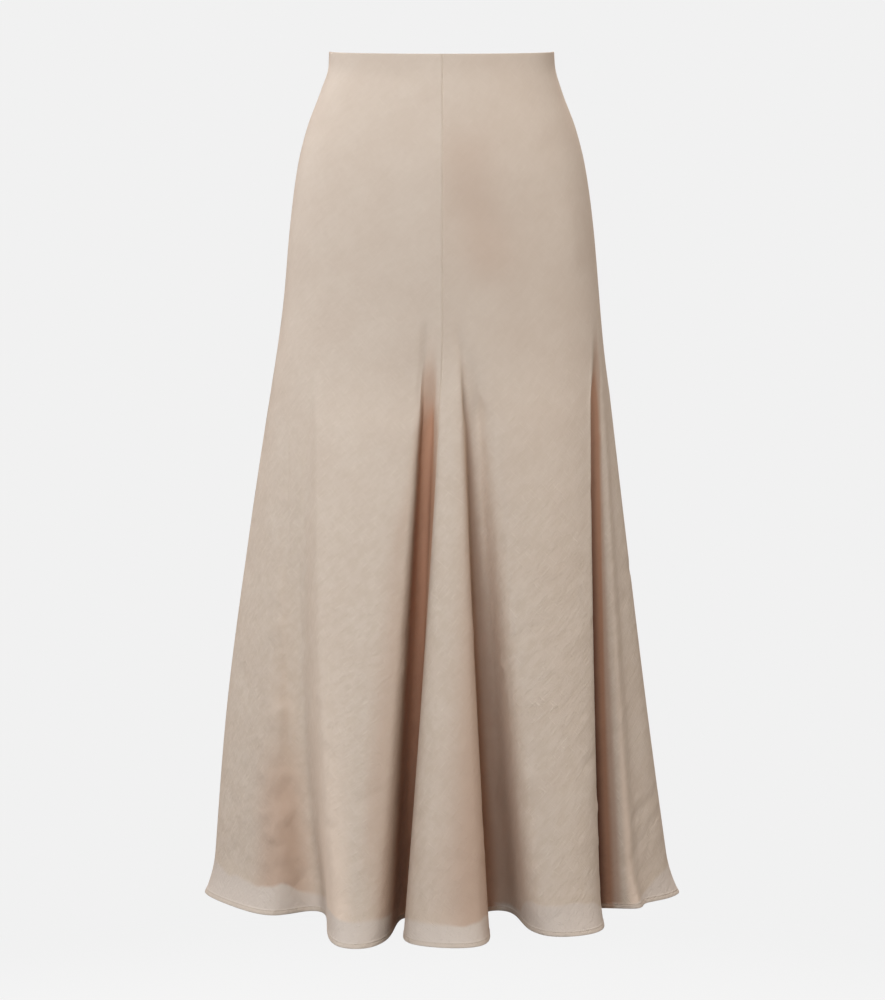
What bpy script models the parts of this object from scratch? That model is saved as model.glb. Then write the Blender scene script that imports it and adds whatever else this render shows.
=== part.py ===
"""A midi skirt cut on the bias, hanging from its waist as it is worn.

Metres, +Z up. The origin is the middle of the waist, and the front faces -Y.
Four panels hang as plain flared cloth down to the hip. Below it they fall in folds that grow towards the hem.
A facing finishes the inside of the waist, and a lining hangs from the facing and ends above the hem.
"""

import math
from collections import namedtuple

import bmesh
import bpy
import numpy as np

# Driving sizes of the garment
LENGTH = 0.888  # from the waist's side to the hem, straight down
FRONT_DIP = 0.006  # how much lower the waist lies at the middle of the front
BACK_DIP = 0.004  # how much lower it lies at the middle of the back
SHELL = 0.0015  # wall of the outer cloth
FACING = 0.0012  # wall of the facing
LINING = 0.0010  # wall of the lining
SEAM_GAP = 0.0003  # between pieces that are sewn together
FACING_DEPTH = 0.034  # height of the facing, measured down from the waist
LINING_SHORTER = 0.030  # the lining ends this much above the hem
HEM_DEPTH = 0.006  # height of the narrow turned hem
HEM_RELIEF = 0.0005  # how far the turned hem stands out of the cloth
KICK_HEIGHT = 0.045  # height over which the hem flips outwards
EASE = 0.0035  # how far the lining hangs inside the shell above the folds
EASE_HEIGHT = 0.060  # height under the facing over which it moves in that far
FOLD_ONSET = 0.12  # share of a fold's height over which it starts softly
FACING_INSET = SHELL / 2 + SEAM_GAP + FACING / 2  # from the outer cloth's middle to the facing's
SHARP_ANGLE = 50  # degrees past which an edge isn't shaded smooth

# Columns from each point of the hem's outline to the next, and the rows' heights as shares of the length
STEPS = 3
WAIST_ROWS = (0.0, FACING_DEPTH / LENGTH / 2, FACING_DEPTH / LENGTH)
ROWS = (0.09, 0.15, 0.23, 0.31, 0.38, 0.46, 0.55, 0.64, 0.73, 0.82, 0.90, 0.955)
HEM_STEP = 0.0012  # height of the small slope above the turned hem
LINING_ROWS = (0.15, 0.31, 0.38, 0.46, 0.64, 0.82)

# The plain hang at some heights below the waist: half the width on each side, and the reach to front and back
Section = namedtuple("Section", "below left right front back")
HANG = (
    Section(0.000, 0.1175, 0.1155, 0.088, 0.086),
    Section(0.015, 0.1180, 0.1165, 0.089, 0.087),
    Section(0.040, 0.1260, 0.1235, 0.093, 0.093),
    Section(0.080, 0.1410, 0.1385, 0.100, 0.106),
    Section(0.120, 0.1508, 0.1485, 0.105, 0.118),
    Section(0.180, 0.1588, 0.1570, 0.108, 0.128),
    Section(0.260, 0.1662, 0.1642, 0.110, 0.131),
    Section(0.350, 0.1790, 0.1720, 0.117, 0.133),
    Section(0.500, 0.2000, 0.1840, 0.132, 0.140),
    Section(0.700, 0.2235, 0.2005, 0.150, 0.150),
    Section(0.888, 0.2360, 0.2180, 0.166, 0.160),
)

# Each crest and valley at the hem, from the left side seam round the front, the right side and the back,
# with left and right as seen from the front.
# turns, spread: where its middle starts at the hip, in quarter turns from seam to seam, and its reach each way
# across, depth: its middle at the hem; half: half its width there, 0 for a single line
# faces: which way its outside faces, in degrees to the right of straight ahead
# starts: how far below the waist it begins; growth: under 1 it opens early, over 1 late
# lining: how far the lining hangs behind it at the hem; kick: how far the hem flips outwards there
Fold = namedtuple("Fold", "name turns spread across depth half faces starts growth lining kick")
FOLDS = (
    Fold("left_side_seam", 0.00, 0.000, -0.244, 0.006, 0.000, -92, 0.30, 1.0, 0.026, 0.008),
    Fold("crest_left_front", 0.22, 0.100, -0.191, -0.087, 0.031, -42, 0.34, 1.2, 0.016, 0.008),
    Fold("valley_left_front", 0.43, 0.025, -0.132, -0.096, 0.010, -15, 0.42, 1.3, 0.006, 0.002),
    Fold("crest_left_middle", 0.69, 0.220, -0.078, -0.232, 0.024, -2, 0.31, 1.1, 0.014, 0.008),
    Fold("valley_left_middle", 0.955, 0.015, -0.035, -0.124, 0.007, 0, 0.28, 1.0, 0.004, 0.002),
    Fold("centre_front_seam", 1.00, 0.000, -0.0375, -0.186, 0.000, -84, 0.28, 1.2, 0.005, 0.002),
    Fold("crest_middle", 1.04, 0.018, 0.003, -0.228, 0.028, 1, 0.29, 1.2, 0.012, 0.008),
    Fold("valley_right_middle", 1.10, 0.018, 0.066, -0.096, 0.010, 5, 0.29, 1.0, 0.006, 0.002),
    Fold("crest_right_front", 1.43, 0.230, 0.121, -0.186, 0.024, 6, 0.30, 1.1, 0.012, 0.008),
    Fold("edge_right_front", 1.75, 0.000, 0.160, -0.138, 0.000, 80, 0.28, 1.1, 0.006, 0.004),
    Fold("valley_right_side", 1.81, 0.015, 0.155, -0.085, 0.006, 60, 0.27, 1.0, 0.005, 0.002),
    Fold("crest_right_side", 1.87, 0.015, 0.184, -0.078, 0.012, 8, 0.28, 1.0, 0.008, 0.008),
    Fold("dip_right_side", 1.92, 0.000, 0.204, -0.058, 0.000, 45, 0.28, 1.1, 0.010, 0.005),
    Fold("crest_far_right", 1.96, 0.000, 0.231, -0.034, 0.000, 50, 0.28, 1.1, 0.018, 0.008),
    Fold("right_side_seam", 2.00, 0.000, 0.242, 0.006, 0.000, 92, 0.28, 1.1, 0.022, 0.008),
    Fold("valley_right_back", 2.22, 0.040, 0.193, 0.062, 0.014, 108, 0.36, 1.1, 0.006, 0.002),
    Fold("crest_right_back", 2.45, 0.100, 0.158, 0.148, 0.030, 140, 0.33, 1.0, 0.014, 0.008),
    Fold("valley_back_right", 2.69, 0.030, 0.088, 0.112, 0.014, 160, 0.31, 1.0, 0.006, 0.002),
    Fold("crest_back_right", 2.84, 0.060, 0.045, 0.206, 0.022, 172, 0.29, 1.0, 0.012, 0.008),
    Fold("centre_back_seam", 3.00, 0.000, 0.008, 0.155, 0.000, 262, 0.29, 1.0, 0.006, 0.002),
    Fold("valley_back_middle", 3.08, 0.025, -0.018, 0.108, 0.012, 184, 0.30, 0.9, 0.006, 0.002),
    Fold("crest_back_left", 3.32, 0.120, -0.078, 0.200, 0.028, 190, 0.32, 1.0, 0.014, 0.008),
    Fold("valley_back_left", 3.56, 0.035, -0.130, 0.112, 0.014, 205, 0.38, 1.1, 0.006, 0.002),
    Fold("crest_left_back", 3.76, 0.080, -0.194, 0.120, 0.030, 232, 0.35, 1.1, 0.014, 0.008),
    Fold("valley_left_back", 3.91, 0.025, -0.214, 0.049, 0.010, 262, 0.40, 1.1, 0.008, 0.002),
)
SEAMS = ("left_side_seam", "centre_front_seam", "right_side_seam", "centre_back_seam")
TURNS = 4
CREAM = (0.62, 0.52, 0.42)
LINING_CREAM = (0.66, 0.57, 0.48)

Outline = namedtuple("Outline", "turns hem starts growth kick seams")
# One row of a wall: its height, how far inside the outer cloth's middle it lies, and how far it is raised
Row = namedtuple("Row", "share inset raised", defaults=(0.0, 0.0))


def smooth_through(x, xs, ys):
    """A curve through the points xs, ys that never swings past them, read at x."""
    xs = np.asarray(xs, float)
    ys = np.asarray(ys, float)
    step = np.diff(xs)
    slope = np.diff(ys) / step
    same_way = slope[:-1] * slope[1:] > 0
    mean = np.zeros(len(xs) - 2)
    mean[same_way] = 2 * slope[:-1][same_way] * slope[1:][same_way] / (slope[:-1] + slope[1:])[same_way]
    tangent = np.concatenate([[slope[0]], mean, [slope[-1]]])
    i = np.clip(np.searchsorted(xs, x, side="right") - 1, 0, len(step) - 1)
    t = (np.asarray(x, float) - xs[i]) / step[i]
    rise = step[i] * (tangent[i] * t * (1 - t) ** 2 - tangent[i + 1] * t * t * (1 - t))
    return ys[i] * (1 + 2 * t) * (1 - t) ** 2 + ys[i + 1] * t * t * (3 - 2 * t) + rise


def closed_spline(points, steps):
    """The smoothest closed curve through the points, with so many steps from each to the next."""
    points = np.asarray(points, float)
    count = len(points)
    chord = np.sqrt(np.linalg.norm(np.roll(points, -1, axis=0) - points, axis=1))
    before = np.roll(chord, 1)
    system = np.zeros((count, count))
    for i in range(count):
        system[i, i - 1] += before[i]
        system[i, i] += 2 * (before[i] + chord[i])
        system[i, (i + 1) % count] += chord[i]
    ahead = (np.roll(points, -1, axis=0) - points) / chord[:, None]
    bend = np.linalg.solve(system, 6 * (ahead - np.roll(ahead, 1, axis=0)))
    curve = []
    for i in range(count):
        j = (i + 1) % count
        for k in range(steps):
            t = k / steps
            s = 1 - t
            swell = (s**3 - s) * bend[i] + (t**3 - t) * bend[j]
            curve.append(s * points[i] + t * points[j] + chord[i] ** 2 / 6 * swell)
    return np.array(curve)


def normals(ring):
    """Which way is outwards at each point of a closed ring, and which way runs along it."""
    ahead = np.roll(ring, -1, axis=0) - ring
    ahead /= np.linalg.norm(ahead, axis=1)[:, None]
    along = ahead + np.roll(ahead, 1, axis=0)
    along /= np.linalg.norm(along, axis=1)[:, None]
    return np.stack([along[:, 1], -along[:, 0]], axis=-1), along


def outline_of(steps, behind=False):
    """Every column's place at the hip and at the hem, for the outer cloth or for the lining behind it."""
    hem, turns, starts, growth, lining, kick, seams = [], [], [], [], [], [], []
    for fold in FOLDS:
        if fold.name in SEAMS:
            seams.append(len(hem) * steps)
        angle = math.radians(fold.faces)
        along = np.array([math.cos(angle), math.sin(angle)])
        for side in (-1, 1) if fold.half else (0,):
            hem.append(np.array([fold.across, fold.depth]) + side * fold.half * along)
            turns.append(fold.turns + side * fold.spread)
            starts.append(fold.starts)
            growth.append(fold.growth)
            lining.append(fold.lining)
            kick.append(fold.kick)
    curve = closed_spline(hem, steps)
    if behind:
        facing = normals(curve)[0][::steps]
        curve = closed_spline(np.array(hem) - facing * np.array(lining)[:, None], steps)
    knots = np.arange(len(hem) + 1)
    columns = np.arange(len(hem) * steps) / steps

    def around(values, whole=0.0):
        return smooth_through(columns, knots, [*values, values[0] + whole])

    return Outline(around(turns, TURNS), curve, around(starts), around(growth), around(kick), seams)


def hang(turns, below):
    """The plain hang, before it folds, at those quarter turns and that height."""
    heights = [section.below for section in HANG]
    left, right, front, back = (
        smooth_through(below, heights, [getattr(section, side) for section in HANG])
        for side in ("left", "right", "front", "back")
    )
    angle = np.pi + turns * np.pi / 2
    across, depth = np.cos(angle), np.sin(angle)
    return np.stack(
        [across * np.where(across < 0, left, right), depth * np.where(depth < 0, front, back)], axis=-1
    )


def waist_height(turns):
    """The waist's height, which dips a little at the front and the back."""
    depth = np.sin(np.pi + turns * np.pi / 2)
    return np.where(depth < 0, FRONT_DIP * depth, -BACK_DIP * depth)


def ring_of(outline, share, inset=0.0):
    """One ring of a wall's middle, at a share of the length, with the ways outwards and along it."""
    below = share * LENGTH
    opened = np.clip((below - outline.starts) / (LENGTH - outline.starts), 0, 1)
    grown = opened**outline.growth * np.clip(opened / FOLD_ONSET, 0, 1)
    folded = outline.hem - hang(outline.turns, LENGTH)
    plan = hang(outline.turns, below) + grown[:, None] * folded
    facing, along = normals(plan)
    radial = plan / np.linalg.norm(plan, axis=1)[:, None]
    flares = np.clip((facing * radial).sum(axis=1), 0, 1) ** 2
    kicked = np.clip((below - LENGTH + KICK_HEIGHT) / KICK_HEIGHT, 0, 1) ** 2
    plan = plan + facing * (outline.kick * kicked * flares - inset)[:, None]
    height = (1 - share) * waist_height(outline.turns) - below
    return np.column_stack([plan, height]), facing, along


def lining_inset(share):
    """How far the lining's middle lies inside the outer cloth's, which grows below the facing."""
    eased = min(max((share * LENGTH - FACING_DEPTH) / EASE_HEIGHT, 0), 1)
    return FACING_INSET + eased * (EASE - FACING_INSET)


def grids(outline, rows, wall):
    """The outer and inner points of a wall all the way round, row by row, and the way along each row."""
    outer, inner, sideways = [], [], []
    for row in rows:
        points, facing, along = ring_of(outline, row.share, row.inset)
        out = np.column_stack([facing, np.zeros(len(facing))])
        outer.append(points + out * (wall / 2 + row.raised))
        inner.append(points - out * wall / 2)
        sideways.append(np.column_stack([along, np.zeros(len(along))]))
    return np.array(outer), np.array(inner), np.array(sideways)


def cut(grid, sideways, first, last):
    """The columns of a grid from one seam to the next, short of each by half the seam's gap."""
    count = grid.shape[1]
    columns = [c % count for c in range(first, last + 1)]
    piece = grid[:, columns].copy()
    piece[:, 0] += sideways[:, columns[0]] * SEAM_GAP / 2
    piece[:, -1] -= sideways[:, columns[-1]] * SEAM_GAP / 2
    return piece


def cloth_solid(name, outer, inner, material):
    """A closed wall between two grids of points.

    Its two sides are split along the same diagonals, and its ends as its neighbours' are, so nothing crosses.
    """
    rows, columns = outer.shape[:2]
    mesh = bmesh.new()
    layers = [[[mesh.verts.new(p) for p in row] for row in grid] for grid in (outer, inner)]
    for layer, way in zip(layers, (1, -1)):
        for r in range(rows - 1):
            for c in range(columns - 1):
                mesh.faces.new([layer[r][c], layer[r + 1][c], layer[r + 1][c + 1]][::way])
                mesh.faces.new([layer[r][c], layer[r + 1][c + 1], layer[r][c + 1]][::way])
    rim = [(0, c) for c in range(columns)]
    rim += [(r, columns - 1) for r in range(1, rows)]
    rim += [(rows - 1, c) for c in range(columns - 2, -1, -1)]
    rim += [(r, 0) for r in range(rows - 2, 0, -1)]
    for (r, c), (s, d) in zip(rim, rim[1:] + rim[:1]):
        corners = [layers[0][r][c], layers[0][s][d], layers[1][s][d], layers[1][r][c]]
        if s < r:
            corners = corners[1:] + corners[:1]
        mesh.faces.new(corners[:3])
        mesh.faces.new([corners[0], *corners[2:]])
    mesh.normal_update()
    data = bpy.data.meshes.new(name)
    mesh.to_mesh(data)
    mesh.free()
    data.materials.append(material)
    data.shade_smooth()
    data.set_sharp_from_angle(angle=math.radians(SHARP_ANGLE))
    piece = bpy.data.objects.new(name, data)
    bpy.context.scene.collection.objects.link(piece)
    return piece


def cloth_material(name, colour, roughness):
    material = bpy.data.materials.new(name)
    material.use_nodes = True
    shader = material.node_tree.nodes["Principled BSDF"]
    shader.inputs["Base Color"].default_value = (*colour, 1.0)
    shader.inputs["Roughness"].default_value = roughness
    shader.inputs["Metallic"].default_value = 0.0
    return material


def wall_pieces(pieces, wall, material):
    """One closed piece for each stretch of columns of a wall."""
    outer, inner, sideways = wall
    for name, (first, last) in pieces.items():
        cloth_solid(name, cut(outer, sideways, first, last), cut(inner, sideways, first, last), material)


def main():
    for old in list(bpy.data.objects):
        bpy.data.objects.remove(old)
    shell_cloth = cloth_material("shell_cloth", CREAM, 0.62)
    lining_cloth = cloth_material("lining_cloth", LINING_CREAM, 0.55)
    outline = outline_of(STEPS)
    left, front, right, back = outline.seams
    full = left + len(outline.hem)

    hem_top = 1 - HEM_DEPTH / LENGTH
    rows = [Row(share) for share in (*WAIST_ROWS, *ROWS, hem_top - HEM_STEP / LENGTH)]
    rows += [Row(share, raised=HEM_RELIEF) for share in (hem_top, 1.0)]
    panels = {
        "front_left": (left, front),
        "front_right": (front, right),
        "back_right": (right, back),
        "back_left": (back, full),
    }
    wall_pieces(panels, grids(outline, rows, SHELL), shell_cloth)

    rows = [Row(share, FACING_INSET) for share in WAIST_ROWS]
    halves = {"facing_front": (left, right), "facing_back": (right, full)}
    wall_pieces(halves, grids(outline, rows, FACING), shell_cloth)

    shares = (WAIST_ROWS[-1] + SEAM_GAP / LENGTH, *LINING_ROWS, 1 - LINING_SHORTER / LENGTH)
    rows = [Row(share, lining_inset(share)) for share in shares]
    halves = {"lining_front": (left, right), "lining_back": (right, full)}
    wall_pieces(halves, grids(outline_of(STEPS, behind=True), rows, LINING), lining_cloth)


main()
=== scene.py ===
"""The looks of a bias-cut midi skirt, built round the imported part.

Metres, +Z up, in the part's own frame: the origin is the middle of the waist and the front faces -Y.
Left and right are as seen from the front.
Each piece of cloth repeats the part's drape with fine columns and rows. It adds the soft creases, the pressed
seams, the rounded waist edge and the narrow stitched hem.
"""

import math
from collections import namedtuple

import bpy
import numpy as np
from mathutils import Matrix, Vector


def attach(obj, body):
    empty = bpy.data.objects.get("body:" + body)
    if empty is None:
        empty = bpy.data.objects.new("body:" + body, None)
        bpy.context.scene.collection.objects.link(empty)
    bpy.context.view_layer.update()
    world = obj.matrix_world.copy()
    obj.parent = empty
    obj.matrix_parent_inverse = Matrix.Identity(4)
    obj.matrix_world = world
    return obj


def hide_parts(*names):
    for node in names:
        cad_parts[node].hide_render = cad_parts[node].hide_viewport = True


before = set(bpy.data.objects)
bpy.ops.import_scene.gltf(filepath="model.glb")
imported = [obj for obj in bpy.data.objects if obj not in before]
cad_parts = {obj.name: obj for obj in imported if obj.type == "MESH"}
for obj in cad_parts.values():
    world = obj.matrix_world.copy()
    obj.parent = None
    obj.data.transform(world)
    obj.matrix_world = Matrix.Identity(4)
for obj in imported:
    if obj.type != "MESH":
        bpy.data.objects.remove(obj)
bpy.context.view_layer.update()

# Sizes of the garment, the same as the part's
LENGTH = 0.888
FRONT_DIP = 0.006  # how far the waist's edge dips at the front, and at the back
BACK_DIP = 0.004
FACING_DEPTH = 0.034
LINING_SHORTER = 0.030
KICK_HEIGHT = 0.045  # the strip above the hem that flips outwards
EASE = 0.0035  # how far inside the outer cloth the lining hangs, and the height over which it moves there
EASE_HEIGHT = 0.060
FOLD_ONSET = 0.12  # the share of a fold's length over which it eases out of the cloth
TURNS = 4  # quarter turns round the waist

# Cloth, as thin as it looks
SHELL = 0.0008
FACING = 0.0008
LINING = 0.0005
FACING_INSET = 0.0009  # from the outer cloth's middle to the facing's

# The narrow hem
HEM_DEPTH = 0.0055  # how high the turned cloth reaches, and the height from which it begins to stand out
HEM_TOP = 0.0060
HEM_STEP = 0.0009  # the height over which it steps out of the cloth
HEM_RELIEF = 0.00045  # how far, on each side
HEM_STITCH = 0.0042  # the row of stitches: its height, its reach up and down, and the share that it pulls back
STITCH_REACH = 0.0006
STITCH_SINK = 0.9
LINING_HEM_TOP = 0.0055
LINING_HEM_STEP = 0.001
LINING_HEM_RELIEF = 0.0002

# The waist's edge and the seams
EDGE_ROUND = 0.0009  # over which an edge rounds off
SEAM_SINK = 0.0006  # how far a seam lies below the cloth beside it
SEAM_REACH = 0.0009  # how far from the seam that begins
CREASE_CLEAR = 0.004  # how far from a seam the creases have all their height
RIDGE_REACH = 0.030  # how far the front's standing forward reaches beside its middle seam
RIDGE_HEIGHTS = (0.0, 0.05, 0.12, 0.20, 0.27, 0.34, 1.0)
RIDGE_STRENGTHS = (0.0012, 0.0022, 0.0036, 0.0034, 0.0018, 0.0, 0.0)

# Columns and rows of the fine meshes
STEPS = 13  # columns from one point of the hem's outline to the next, in the outer cloth and in the lining
LINING_STEPS = 5
SEAM_STEPS = (0.008, 0.018, 0.032, 0.052, 0.08, 0.16)  # extra columns beside a seam, as shares of a step
WAIST_EDGE_ROWS = (0.0, 0.0002, 0.0005, 0.0010, 0.0018, 0.0030)
FIRST_ROW = 0.0045  # the even rows begin that far below the waist and end that far above the hem
LAST_ROW = 0.0120
ROW_HEIGHT = 0.0042
HEM_ROWS = (0.0, 0.0003, 0.0008, 0.0016, 0.0026, 0.0034, 0.0039, 0.0042, 0.0045, 0.005, 0.0055, 0.006, 0.007, 0.009)
FACING_ROW = 0.0027
LINING_TUCK = 0.004  # how far the lining reaches up under the facing
LINING_ROW = 0.009
LINING_LAST_ROW = 0.008
LINING_HEM_ROWS = (0.0, 0.001, 0.003, 0.004, 0.005)

# How closely the depth of the folds is worked out
DEPTH_STEP = 0.020  # from one height to the next
DEPTH_COLUMNS = 5  # from one column to the next
DEPTH_WAYS = 17  # the ways looked from each place, spread over so many degrees on each side of straight out
DEPTH_SPREAD = 80
DEPTH_OFF = 0.0005  # how far off the cloth each look starts
PARALLEL = 1e-12  # lines that cross less than this count as parallel

# The painted warm shade in the folds. Each fold's own shade comes in softly over the first stretch below its
# start and has all its strength at the end of the second. It grows by a power, which is the higher the weaker the
# shade is
SHADE_BEGINS = 0.11
SHADE_ONSET = 0.53
SHADE_AT_ONCE = 0.28
SHADE_LATER = 1.9
# The painted shade that the depth of a fold gives besides: from which depth on, and how much in the deepest place
DEPTH_OPEN = 0.15
DEPTH_SHADE = 0.14
# The painted shade on the flank beside the front seam: how wide and how dark it is, and from where down, and over
# how much, that grows
FLANK_REACH = 0.034
FLANK_SHADE = 0.85
FLANK_FROM = 0.300
FLANK_GROWS = 0.18

# The plain hang at some heights below the waist: half the width on each side, and the reach to front and back
Section = namedtuple("Section", "below left right front back")
HANG = (
    Section(0.000, 0.1175, 0.1155, 0.088, 0.086),
    Section(0.015, 0.1180, 0.1165, 0.089, 0.087),
    Section(0.040, 0.1260, 0.1235, 0.093, 0.093),
    Section(0.080, 0.1410, 0.1385, 0.100, 0.106),
    Section(0.120, 0.1508, 0.1485, 0.105, 0.118),
    Section(0.180, 0.1588, 0.1570, 0.108, 0.128),
    Section(0.260, 0.1662, 0.1642, 0.110, 0.131),
    Section(0.350, 0.1790, 0.1720, 0.117, 0.133),
    Section(0.500, 0.2000, 0.1840, 0.132, 0.140),
    Section(0.700, 0.2235, 0.2005, 0.150, 0.150),
    Section(0.888, 0.2360, 0.2180, 0.166, 0.160),
)

# Each crest and valley at the hem, from the left side seam round the front, the right side and the back. In the
# front the outlines differ a little from the part's, so that each hollow has one sharp side and one gentle one.
# turns, spread: where its middle starts at the hip, in quarter turns from seam to seam, and its reach each way
# across, depth: its middle at the hem; half: half its width there, 0 for a single line
# faces: which way its outside faces, in degrees to the right of straight ahead
# starts: how far below the waist it begins; growth: under 1 it opens early, over 1 late
# lining: how far the lining hangs behind it at the hem; kick: how far the hem flips outwards there
# sheer: how far above the hem the lining's edge shows through
# shade, last_shade: how strongly painted warm shade darkens the cloth in it at the hem, on its first and its last
# side; under 0 it is a painted highlight, paler than the rest
Fold = namedtuple(
    "Fold", "name turns spread across depth half faces starts growth lining kick sheer shade last_shade"
)
FOLDS = (
    Fold("left_side_seam", 0.00, 0.000, -0.244, 0.006, 0.000, -92, 0.30, 1.0, 0.026, 0.008, 0.042, 0.00, 0.00),
    Fold("crest_left_front", 0.22, 0.100, -0.191, -0.087, 0.031, -42, 0.34, 1.2, 0.016, 0.008, 0.031, 0.00, 0.28),
    Fold("valley_left_front", 0.43, 0.025, -0.132, -0.096, 0.010, -15, 0.42, 1.3, 0.006, 0.002, 0.020, 0.28, 0.06),
    Fold("crest_left_middle", 0.69, 0.220, -0.083, -0.232, 0.019, -2, 0.31, 1.1, 0.014, 0.008, 0.028, -0.38, 0.32),
    Fold("valley_left_middle", 0.955, 0.015, -0.034, -0.124, 0.006, 0, 0.28, 1.0, 0.004, 0.002, 0.010, 1.16, 1.30),
    Fold("centre_front_seam", 1.00, 0.000, -0.0375, -0.186, 0.000, -84, 0.28, 1.2, 0.005, 0.002, 0.014, 0.06, 0.06),
    Fold("crest_middle", 1.04, 0.018, 0.008, -0.228, 0.032, 1, 0.29, 1.2, 0.012, 0.008, 0.025, 0.10, 0.58),
    Fold("valley_right_middle", 1.10, 0.018, 0.056, -0.096, 0.012, 3, 0.29, 1.0, 0.006, 0.002, 0.006, 0.90, 0.30),
    Fold("crest_right_front", 1.43, 0.230, 0.121, -0.186, 0.024, 6, 0.30, 1.1, 0.012, 0.008, 0.030, 0.00, 0.05),
    Fold("edge_right_front", 1.75, 0.000, 0.161, -0.138, 0.000, 80, 0.28, 0.85, 0.006, 0.004, 0.014, 0.35, 0.35),
    Fold("valley_right_side", 1.81, 0.015, 0.155, -0.085, 0.006, 60, 0.27, 0.85, 0.005, 0.002, 0.006, 2.00, 2.00),
    Fold("crest_right_side", 1.87, 0.015, 0.188, -0.078, 0.010, 8, 0.28, 1.0, 0.008, 0.008, 0.008, 0.74, -0.34),
    Fold("dip_right_side", 1.92, 0.000, 0.208, -0.058, 0.000, 45, 0.28, 1.1, 0.010, 0.005, 0.012, 0.08, 0.08),
    Fold("crest_far_right", 1.96, 0.000, 0.231, -0.034, 0.000, 50, 0.28, 1.1, 0.018, 0.008, 0.026, 0.00, 0.00),
    Fold("right_side_seam", 2.00, 0.000, 0.242, 0.006, 0.000, 92, 0.28, 1.1, 0.022, 0.008, 0.034, 0.00, 0.00),
    Fold("valley_right_back", 2.22, 0.040, 0.193, 0.062, 0.014, 108, 0.36, 1.1, 0.006, 0.002, 0.014, 0.45, 0.45),
    Fold("crest_right_back", 2.45, 0.100, 0.158, 0.148, 0.030, 140, 0.33, 1.0, 0.014, 0.008, 0.030, 0.05, 0.05),
    Fold("valley_back_right", 2.69, 0.030, 0.088, 0.112, 0.014, 160, 0.31, 1.0, 0.006, 0.002, 0.010, 0.55, 0.55),
    Fold("crest_back_right", 2.84, 0.060, 0.045, 0.206, 0.022, 172, 0.29, 1.0, 0.012, 0.008, 0.029, 0.05, 0.05),
    Fold("centre_back_seam", 3.00, 0.000, 0.008, 0.155, 0.000, 262, 0.29, 1.0, 0.006, 0.002, 0.016, 0.30, 0.30),
    Fold("valley_back_middle", 3.08, 0.025, -0.018, 0.108, 0.012, 184, 0.30, 0.9, 0.006, 0.002, 0.010, 0.70, 0.70),
    Fold("crest_back_left", 3.32, 0.120, -0.078, 0.200, 0.028, 190, 0.32, 1.0, 0.014, 0.008, 0.028, 0.05, 0.00),
    Fold("valley_back_left", 3.56, 0.035, -0.130, 0.112, 0.014, 205, 0.38, 1.1, 0.006, 0.002, 0.012, 0.50, 0.50),
    Fold("crest_left_back", 3.76, 0.080, -0.194, 0.120, 0.030, 232, 0.35, 1.1, 0.014, 0.008, 0.032, 0.05, 0.00),
    Fold("valley_left_back", 3.91, 0.025, -0.214, 0.049, 0.010, 262, 0.40, 1.1, 0.008, 0.002, 0.018, 0.35, 0.35),
)
SEAMS = ("left_side_seam", "centre_front_seam", "right_side_seam", "centre_back_seam")

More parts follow.
